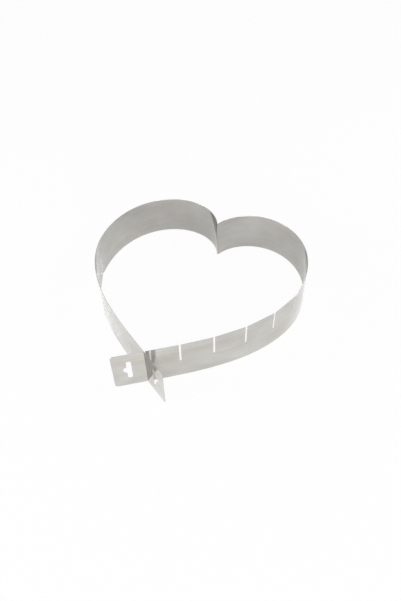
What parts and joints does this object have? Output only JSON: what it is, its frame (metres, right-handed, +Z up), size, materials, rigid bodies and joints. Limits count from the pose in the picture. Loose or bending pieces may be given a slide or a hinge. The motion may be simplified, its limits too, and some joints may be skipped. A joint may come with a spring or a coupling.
{
  "type": "adjustable cake ring",
  "caption": "Heart-shaped adjustable cake ring of spring steel bands on edge, hooked together by half-height slots at the point, with hang-hole tabs past the crossing.",
  "frame": {"origin": "on the ground under the middle of the ring's box", "axes": "+Y from the crossing towards the cleft, +X towards the right half, +Z up"},
  "size_m": [0.3028, 0.3204, 0.06],
  "materials": {
    "spring_steel": "bright cold-rolled, faint grain along the band"
  },
  "bodies": {
    "right_half": {"right_band": "spring_steel"},
    "left_half": {"left_band": "spring_steel"}
  },
  "joints": [
    {"name": "left_band_lift", "type": "slide", "parent": "right_half", "child": "left_half", "axis": [0, 0, 1], "range_m": [0, 0.062]}
  ]
}
